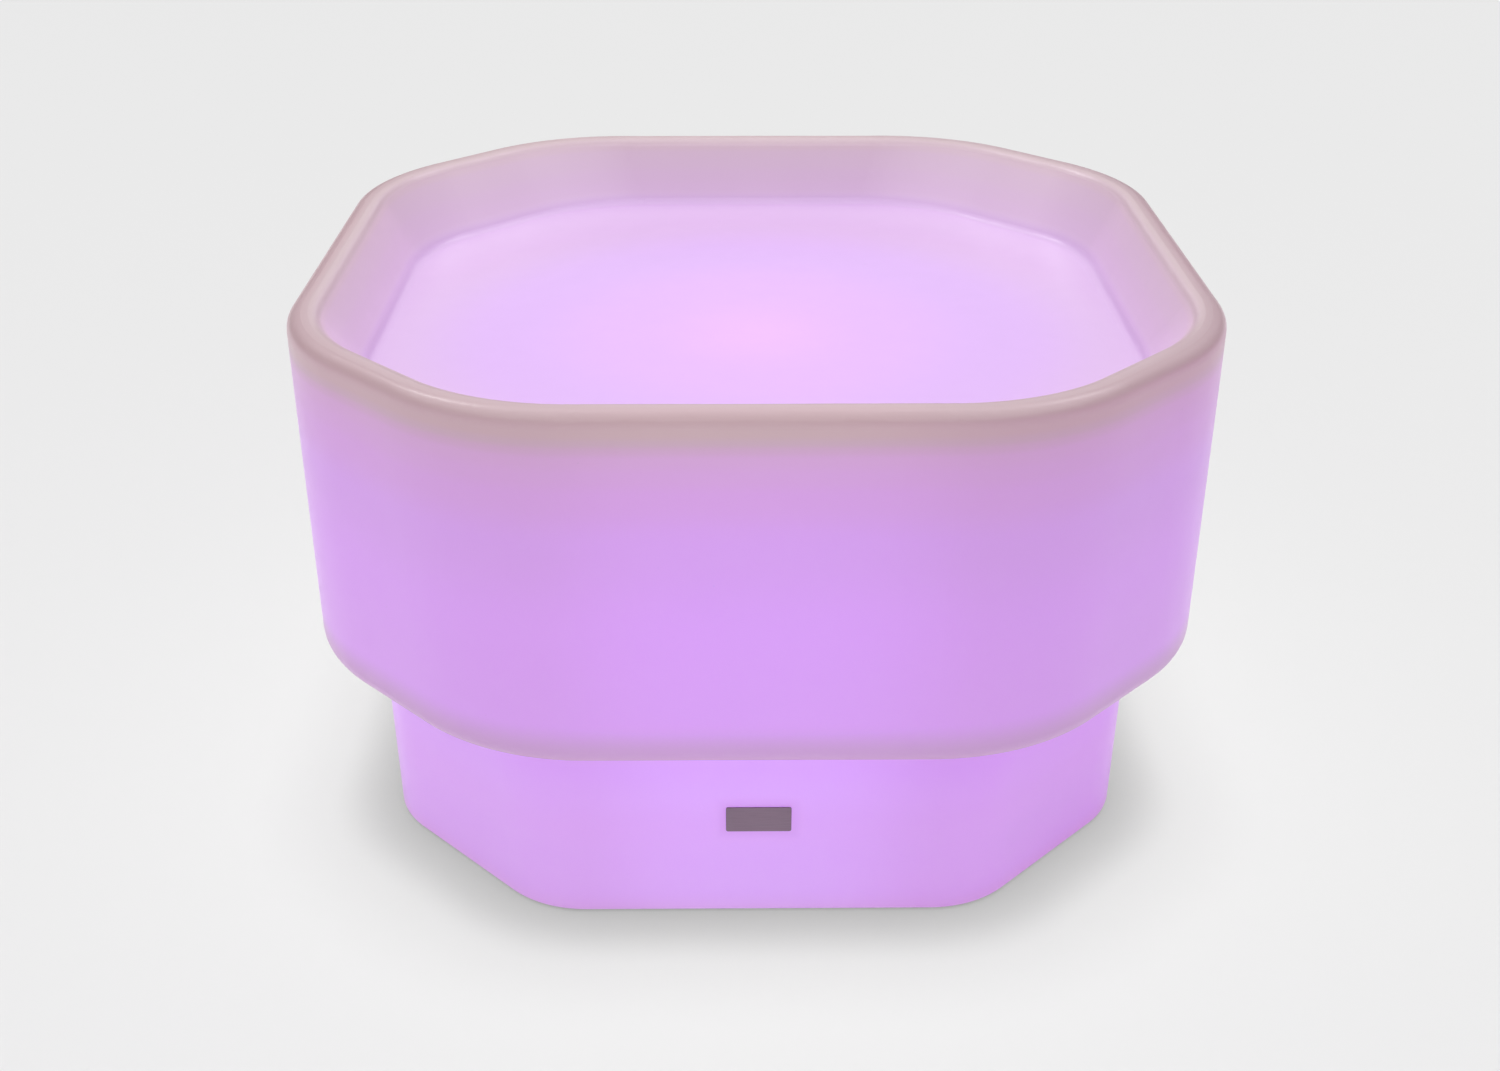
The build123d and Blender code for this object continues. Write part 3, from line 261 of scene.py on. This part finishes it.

# Painted glow of the tray's sloping lining, standing in for the lamp's light shining through it: height,
# red, green, blue. It falls off in painted shade at the rim's top.
LINING_GLOW = [
    (TRAY_FLOOR - 0.008, 0.39, 0.21, 0.44),
    (TRAY_FLOOR + 0.006, 0.41, 0.205, 0.46),
    (TRAY_FLOOR + 0.014, 0.385, 0.18, 0.415),
    (TRAY_FLOOR + 0.024, 0.375, 0.18, 0.39),
    (RIM_TOP - 0.020, 0.37, 0.19, 0.365),
    (RIM_TOP - 0.012, 0.37, 0.195, 0.35),
    (RIM_TOP - 0.006, 0.37, 0.205, 0.31),
    (RIM_TOP - 0.002, 0.28, 0.13, 0.20),
    (RIM_TOP, 0.22, 0.08, 0.12),
]
LINING_START = TRAY_FLOOR - 0.010

# Painted glow of the tray's floor, a pool of painted light standing in for the lamp below it: distance from
# its brightest place, red, green, blue.
FLOOR_GLOW_CENTRE = (0.0, -0.05)
FLOOR_GLOW = [
    (0.00, 0.455, 0.08, 0.60),
    (0.10, 0.38, 0.06, 0.60),
    (0.20, 0.32, 0.05, 0.52),
    (0.28, 0.315, 0.075, 0.43),
    (0.33, 0.33, 0.105, 0.44),
]

# Where the glow of one part of the shell gives way to that of the next. The rim reaches further to a
# corner than to the middle of a side, and its crest lies some way in from the widest outline. The tray
# starts inside the wall under its floor, and its floor's glow ends where the lining rises.
RIM_SIDE_REACH = 0.3392
RIM_CORNER_REACH = 0.3768
CORNER_BLEND = 0.076
CREST_OUTSIDE = HALF_WIDTH - 0.010
CREST_INSIDE = HALF_WIDTH - 0.020
TRAY_START = TRAY_FLOOR - 0.002
TRAY_FULL = TRAY_FLOOR - 0.001
FLOOR_GLOW_END = TRAY_FLOOR + 0.011

# The glow is dimmed by painted shade round the corners, towards the right, where less light falls, and
# within a few millimetres of the badge, which holds back the lamp's light. A corner's painted shade is full
# where a point's distance from the middle is FULL_TURN times the longer of its two coordinates.
CORNER_PAINTED_SHADE = opaque(0.90, 0.72, 0.862)
FULL_TURN = 1.10
RIGHT_PAINTED_SHADE = opaque(0.85, 0.15, 0.88)
BADGE_PAINTED_SHADE = opaque(0.91, 0.72, 0.885)
HALO_FULL = 0.002
HALO_END = 0.009
HALO_ROUND = 0.004

# Unevenness of the moulded wall, with sizes in metres.
CLOUD_SIZE = 0.16
CLOUD_TINT = opaque(0.97, 0.96, 0.985)
GRAIN_SIZE = 0.0016
GRAIN_TINT = opaque(0.985, 0.98, 0.985)
SPECK_SPACING = 0.03
SPECK_SIZE = 0.0007
SPECK_TINT = opaque(0.72, 0.45, 0.74)
SHINE_PATCH_SIZE = 0.02
RIPPLE_SIZE = 0.045
PIT_SIZE = 0.0012
PIT_SHARE = 0.12

SHELL_COLOUR = opaque(0.48, 0.46, 0.46)
GLOW_STRENGTH = 1.01


def badge_shade_mask(shader):
    """1 on the front wall beside the badge, where the glow dips a little in painted shade, and 0 away from
    it.
    """
    x, y, z = shader.axes()
    beside = shader.beyond(x, BADGE_MIDDLE[0], BADGE_HALF[0])
    above = shader.beyond(z, BADGE_MIDDLE[2], BADGE_HALF[2])
    near = shader.fade(shader.math("SMOOTH_MAX", beside, above, HALO_ROUND), HALO_END, HALO_FULL)
    return shader.math("MULTIPLY", near, shader.math("LESS_THAN", y, 0.0))


def outer_glow(shader, side):
    """The painted glow of the pedestal, the skirt and the rim's outside, with painted shade round the
    corners, towards the right and beside the badge.
    """
    x, _, z = shader.axes()
    glow = shader.ramp(z, OUTER_GLOW, 0.0, RIM_TOP)
    turn = shader.math("DIVIDE", shader.distance((0.0, 0.0)), side)
    # Painted shade: round the corners, towards the right, and beside the badge.
    glow = shader.tinted(shader.fade(turn, 1.0, FULL_TURN), glow, CORNER_PAINTED_SHADE)
    glow = shader.tinted(shader.fade(x, 0.0, HALF_WIDTH), glow, RIGHT_PAINTED_SHADE)
    return shader.tinted(badge_shade_mask(shader), glow, BADGE_PAINTED_SHADE)


def shell_glow(shader):
    """The painted glow of the whole shell, standing in for the lamp inside: the outside, the tray's lining
    and the tray's floor.
    """
    x, y, z = shader.axes()

    # How far out the point is, towards the nearest side and towards the nearest corner.
    out_x = shader.math("ABSOLUTE", x)
    out_y = shader.math("ABSOLUTE", y)
    side = shader.math("MAXIMUM", out_x, out_y)
    corner = shader.math("MULTIPLY", shader.math("ADD", out_x, out_y), sqrt(0.5))
    levelled = shader.math("MULTIPLY", corner, RIM_SIDE_REACH / RIM_CORNER_REACH)
    reach = shader.math("SMOOTH_MAX", side, levelled, CORNER_BLEND)

    in_tray = shader.math("MULTIPLY", shader.fade(reach, CREST_OUTSIDE, CREST_INSIDE),
                          shader.fade(z, TRAY_START, TRAY_FULL))
    on_floor = shader.math("MULTIPLY", shader.fade(z, FLOOR_GLOW_END, TRAY_FLOOR), in_tray)
    lining = shader.ramp(z, LINING_GLOW, LINING_START, RIM_TOP)
    floor = shader.ramp(shader.distance(FLOOR_GLOW_CENTRE), FLOOR_GLOW, 0.0, HALF_WIDTH)
    glow = shader.mix(in_tray, outer_glow(shader, side), lining)
    return shader.mix(on_floor, glow, floor)


def uneven(shader, glow):
    """The glow with faint clouds where the wall's thickness changes, fine grain and specks of dust."""
    clouds = shader.fade(shader.noise(CLOUD_SIZE, detail=3.0), start=0.3, end=0.7)
    grain = shader.fade(shader.noise(GRAIN_SIZE), start=0.35, end=0.65)
    glow = shader.tinted(clouds, glow, CLOUD_TINT)
    glow = shader.tinted(grain, glow, GRAIN_TINT)
    return shader.tinted(shader.specks(SPECK_SPACING, SPECK_SIZE), glow, SPECK_TINT)


def glowing_shell():
    """Milky moulded plastic, with the light of the lamp inside painted into its emission as a glow."""
    shader = Shader("glowing_shell")
    shader.set(base_color=SHELL_COLOUR, emission_color=uneven(shader, shell_glow(shader)))
    patches = shader.noise(SHINE_PATCH_SIZE, detail=4.0)
    shader.set(roughness=shader.stray(patches, middle=0.45, spread=0.16), ior=1.5)
    shader.set(coat_weight=0.45, coat_roughness=0.18)

    # The painted glow is seen, but it casts no coloured light on the floor.
    cast = shader.node("ShaderNodeLightPath").outputs["Is Diffuse Ray"]
    shader.set(emission_strength=shader.math("MULTIPLY_ADD", cast, -GLOW_STRENGTH, GLOW_STRENGTH))

    # Fine pits from the mould lie over the slow ripple of a rotationally moulded wall.
    ripple = shader.noise(RIPPLE_SIZE, detail=1.0)
    relief = shader.math("MULTIPLY_ADD", shader.noise(PIT_SIZE, detail=3.0), PIT_SHARE, ripple)
    shader.bump(relief, strength=0.25, distance=0.001)
    return shader.material


def moulded(name, colour, roughness=0.5):
    """Injection-moulded plastic with a fine etched texture."""
    shader = Shader(name)
    mottle = shader.noise(grain=0.018, detail=3.0)
    shader.set(base_color=shader.mix(mottle, dimmed(colour, 0.94), colour))
    shader.set(roughness=shader.stray(shader.noise(grain=0.006), middle=roughness, spread=0.12))
    shader.bump(shader.noise(grain=0.0008), strength=0.15, distance=0.0003)
    return shader.material


def rubber(name, colour):
    """Soft dark rubber or silicone, with dust in its grain."""
    shader = Shader(name)
    dusty = opaque(*(part * 1.7 + 0.02 for part in colour[:3]))
    dust = shader.fade(shader.noise(grain=0.004, detail=5.0, roughness=0.7), start=0.52, end=0.75)
    shader.set(base_color=shader.mix(dust, colour, dusty), roughness=0.82, ior=1.45)
    shader.bump(shader.noise(grain=0.0006, detail=3.0), strength=0.3, distance=0.0002)
    return shader.material


def metal(name, colour):
    """Turned or drawn metal, with fine level lines."""
    shader = Shader(name)
    lines = shader.noise(grain=0.0016, detail=4.0, vector=shader.stretched((1.0, 1.0, 30.0)))
    shader.set(base_color=shader.mix(lines, dimmed(colour, 0.82), colour), metallic=1.0)
    shader.set(roughness=shader.stray(lines, middle=0.3, spread=0.2))
    shader.bump(lines, strength=0.08, distance=0.0001)
    return shader.material


def clear(name):
    """Clear moulded plastic."""
    shader = Shader(name)
    shader.set(base_color=opaque(0.95, 0.95, 0.97), transmission_weight=1.0, ior=1.49)
    shader.set(roughness=shader.stray(shader.noise(grain=0.02), middle=0.04, spread=0.08))
    return shader.material


def lit(name, colour, glow, strength):
    """A small lamp that gives out its own light, a little unevenly."""
    shader = Shader(name)
    cells = shader.noise(grain=0.0012, detail=1.0)
    shader.set(base_color=colour, roughness=0.2)
    shader.set(emission_color=shader.mix(cells, glow, colour), emission_strength=strength)
    return shader.material


def circuit_board(name, lacquer, copper):
    """Lacquered board with tracks showing faintly through."""
    shader = Shader(name)
    tracks = shader.node("ShaderNodeTexBrick")
    shader.join(shader.position(), tracks.inputs["Vector"])
    tracks.inputs["Scale"].default_value = 60.0
    tracks.inputs["Mortar Size"].default_value = 0.012
    tracks.inputs["Color1"].default_value = lacquer
    tracks.inputs["Color2"].default_value = dimmed(lacquer, 0.8)
    tracks.inputs["Mortar"].default_value = copper
    shader.set(base_color=tracks.outputs["Color"], roughness=0.35)
    shader.bump(tracks.outputs["Fac"], strength=0.1, distance=0.0001)
    return shader.material


def badge_metal(name):
    """Satin plate with a fine grain along its length."""
    shader = Shader(name)
    lines = shader.noise(grain=0.0009, detail=4.0, vector=shader.stretched((0.06, 1.0, 1.0)))
    shader.set(base_color=shader.mix(lines, srgb(141, 118, 139), srgb(158, 134, 155)))
    shader.set(metallic=0.35, roughness=0.5)
    shader.bump(lines, strength=0.1, distance=0.0001)
    return shader.material


def dress_nodes():
    """Gives every node of the frame its finish."""
    steel = metal("steel", opaque(0.62, 0.62, 0.64))
    brass = metal("brass", opaque(0.72, 0.52, 0.24))
    seal = rubber("soft_seal", opaque(0.035, 0.035, 0.04))
    black = moulded("control_black", opaque(0.03, 0.03, 0.035), roughness=0.45)
    white_wire = moulded("wire_white", grey(0.72), roughness=0.35)
    red_wire = moulded("wire_red", opaque(0.45, 0.02, 0.015), roughness=0.35)
    finishes = {
        "body_shell": glowing_shell(),
        "badge_plate": badge_metal("badge"),
        "feet": rubber("foot_pad", opaque(0.05, 0.05, 0.055)),
        "unit_housing": moulded("housing", opaque(0.74, 0.74, 0.76)),
        "battery_door": moulded("door", opaque(0.68, 0.68, 0.70)),
        "power_button": moulded("button", opaque(0.06, 0.065, 0.075), roughness=0.35),
        "port_cover": rubber("cover", opaque(0.03, 0.03, 0.035)),
        "status_light": clear("indicator"),
        "light_dome": clear("clear_dome"),
        "led_board": moulded("light_board", opaque(0.78, 0.78, 0.80), roughness=0.4),
        "leds": lit("led", opaque(0.9, 0.8, 0.95), glow=opaque(0.75, 0.25, 1.0), strength=6.0),
        "remote_receiver": moulded("receiver", opaque(0.03, 0.015, 0.03), roughness=0.15),
        "battery_cells": moulded("cell_wrap", opaque(0.04, 0.14, 0.38), roughness=0.25),
        "battery_holder": moulded("holder", opaque(0.035, 0.035, 0.04)),
        "cell_tabs": metal("nickel", opaque(0.60, 0.58, 0.55)),
        "button_spring": metal("spring_steel", opaque(0.58, 0.58, 0.60)),
        "control_board": circuit_board("circuit_board", opaque(0.01, 0.10, 0.04), opaque(0.05, 0.22, 0.08)),
        "control_chips": moulded("chip", grey(0.03), roughness=0.4),
    }
    shared = [
        (steel, ("unit_screws", "dome_screws", "board_screws", "control_board_screws", "door_screws",
                 "switch_nut", "socket_nut", "hinge_pin")),
        (brass, ("socket_contact", "thread_inserts", "board_pillars")),
        (seal, ("unit_gasket", "dome_seal", "door_seal")),
        (black, ("switch_body", "charge_socket", "cover_anchor")),
        (white_wire, ("switch_lead", "status_lead", "led_lead")),
        (red_wire, ("socket_lead", "battery_lead")),
    ]
    for material, names in shared:
        finishes.update(dict.fromkeys(names, material))
    for name, material in finishes.items():
        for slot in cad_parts[name].material_slots:
            slot.material = material


def add_return_spring():
    """The spring behind the button, which the button's shoulder presses up against the housing."""
    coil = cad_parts["button_spring"]
    spring = bpy.data.objects.new("return_spring", coil.data.copy())
    bpy.context.scene.collection.objects.link(spring)
    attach(spring, "table")
    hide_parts("button_spring")
    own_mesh(spring)
    return spring


def add_camera():
    camera = bpy.data.objects.new("camera", bpy.data.cameras.new("camera"))
    camera.data.sensor_width = SENSOR_WIDTH_MM
    camera.data.lens = FOCAL_LENGTH_PX * SENSOR_WIDTH_MM / PHOTO_WIDTH_PX
    camera.data.clip_end = VIEW_END
    turn = Matrix.Rotation(radians(-CAMERA_YAW), 4, "Z")
    tilt = Matrix.Rotation(radians(90 - CAMERA_PITCH), 4, "X")
    roll = Matrix.Rotation(radians(CAMERA_ROLL), 4, "Z")
    camera.matrix_world = Matrix.Translation(CAMERA_PLACE) @ turn @ tilt @ roll
    bpy.context.scene.collection.objects.link(camera)
    bpy.context.scene.camera = camera


# Painted contact shadow: the floor's colour darkens where something stands close over it.
FLOOR_HALF_WIDTH = 30.0
FLOOR_COLOUR = grey(0.80)
CONTACT_SHADOW_COLOUR = grey(0.36)
CONTACT_REACH = 0.06


def add_floor():
    """The plain pale floor that the table stands on, with a painted contact shadow in its colour."""
    mesh = bpy.data.meshes.new("studio_floor")
    half = FLOOR_HALF_WIDTH
    corners = [(-half, -half, 0), (half, -half, 0), (half, half, 0), (-half, half, 0)]
    mesh.from_pydata(corners, [], [(0, 1, 2, 3)])
    floor = bpy.data.objects.new("studio_floor", mesh)
    bpy.context.scene.collection.objects.link(floor)
    shader = Shader("studio_floor")
    # Painted contact shadow: ambient occlusion darkens the floor's colour near the table.
    contact_shadow_share = shader.node("ShaderNodeAmbientOcclusion", samples=16, only_local=False)
    contact_shadow_share.inputs["Distance"].default_value = CONTACT_REACH
    shade = shader.mix(contact_shadow_share.outputs["AO"], CONTACT_SHADOW_COLOUR, FLOOR_COLOUR)
    shader.set(base_color=shade, roughness=0.9, specular_ior_level=0.1)

    # From below, the floor is clear, so that the underside of the table shows.
    sides = shader.node("ShaderNodeMixShader")
    shader.join(shader.node("ShaderNodeNewGeometry").outputs["Backfacing"], sides.inputs["Fac"])
    shader.join(shader.surface.outputs["BSDF"], sides.inputs[1])
    shader.join(shader.node("ShaderNodeBsdfTransparent").outputs["BSDF"], sides.inputs[2])
    shader.join(sides.outputs["Shader"], shader.tree.nodes["Material Output"].inputs["Surface"])
    mesh.materials.append(shader.material)
    return floor


WORLD_COLOUR = grey(1.0)
WORLD_LIGHT = 0.08
BACKDROP_COLOUR = grey(0.80)

# Soft distant lights. Each has its tilt from straight above, the way it stands and its spread, in
# degrees, and then how brightly it lights a white surface that faces it.
Sun = namedtuple("Sun", "name tilt turn spread brightness")
FLOOR_LIGHT = Sun("floor_overhead", 0, 0, 22, 0.25)
FLOOR_FILL = Sun("floor_fill", 0, 0, 22, 0.71)
TABLE_LIGHTS = [
    Sun("table_overhead", 0, 0, 100, 0.77),
    Sun("table_back", 64, 90, 30, 0.05),
    Sun("table_left", 42, 125, 14, 0.075),
    Sun("table_right", 42, 54, 14, 0.04),
]
UNDERSIDE_LIGHT = Sun("table_underneath", 180, 0, 60, 0.25)


def add_world():
    """A dim even light from all round, with a pale backdrop where the floor ends."""
    world = bpy.data.worlds.new("studio")
    world.use_nodes = True
    tree = world.node_tree
    light = tree.nodes["Background"]
    light.inputs["Color"].default_value = WORLD_COLOUR
    light.inputs["Strength"].default_value = WORLD_LIGHT
    backdrop = tree.nodes.new("ShaderNodeBackground")
    backdrop.inputs["Color"].default_value = BACKDROP_COLOUR
    seen = tree.nodes.new("ShaderNodeMixShader")
    tree.links.new(tree.nodes.new("ShaderNodeLightPath").outputs["Is Camera Ray"], seen.inputs["Fac"])
    tree.links.new(light.outputs["Background"], seen.inputs[1])
    tree.links.new(backdrop.outputs["Background"], seen.inputs[2])
    tree.links.new(seen.outputs["Shader"], tree.nodes["World Output"].inputs["Surface"])
    bpy.context.scene.world = world


def group(name, members):
    """A collection that only tells the lights what they fall on, or what shades them."""
    collection = bpy.data.collections.new(name)
    for member in members:
        collection.objects.link(member)
    return collection


def add_sun(sun, receivers, blockers=None):
    """A light that falls on one group alone, shaded by everything or by the blockers."""
    light = bpy.data.objects.new(sun.name, bpy.data.lights.new(sun.name, "SUN"))
    light.data.energy = pi * sun.brightness
    light.data.angle = radians(sun.spread)
    tilt = radians(sun.tilt)
    turn = radians(sun.turn)
    towards = Vector((sin(tilt) * cos(turn), sin(tilt) * sin(turn), cos(tilt)))
    light.matrix_world = towards.to_track_quat("Z", "Y").to_matrix().to_4x4()
    light.light_linking.receiver_collection = receivers
    light.light_linking.blocker_collection = blockers
    bpy.context.scene.collection.objects.link(light)


def add_lights(floor, pieces):
    """Soft light for the table, and lights of its own for the floor, so that its shadow stays close in.

    The shell glows and needs no light from below. The pieces under it do."""
    add_world()
    ground = group("ground", [floor])
    table = group("table", pieces)
    add_sun(FLOOR_LIGHT, ground)
    add_sun(FLOOR_FILL, ground, blockers=ground)
    for sun in TABLE_LIGHTS:
        add_sun(sun, table)
    underside = group("underside", [piece for piece in pieces if piece.name != "body_shell"])
    add_sun(UNDERSIDE_LIGHT, underside, blockers=table)


add_camera()
dress_nodes()
studio_floor = add_floor()
table_pieces = [*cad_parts.values(), add_return_spring()]
add_lights(studio_floor, table_pieces)
bpy.context.scene.view_settings.view_transform = "Standard"
bpy.context.view_layer.update()
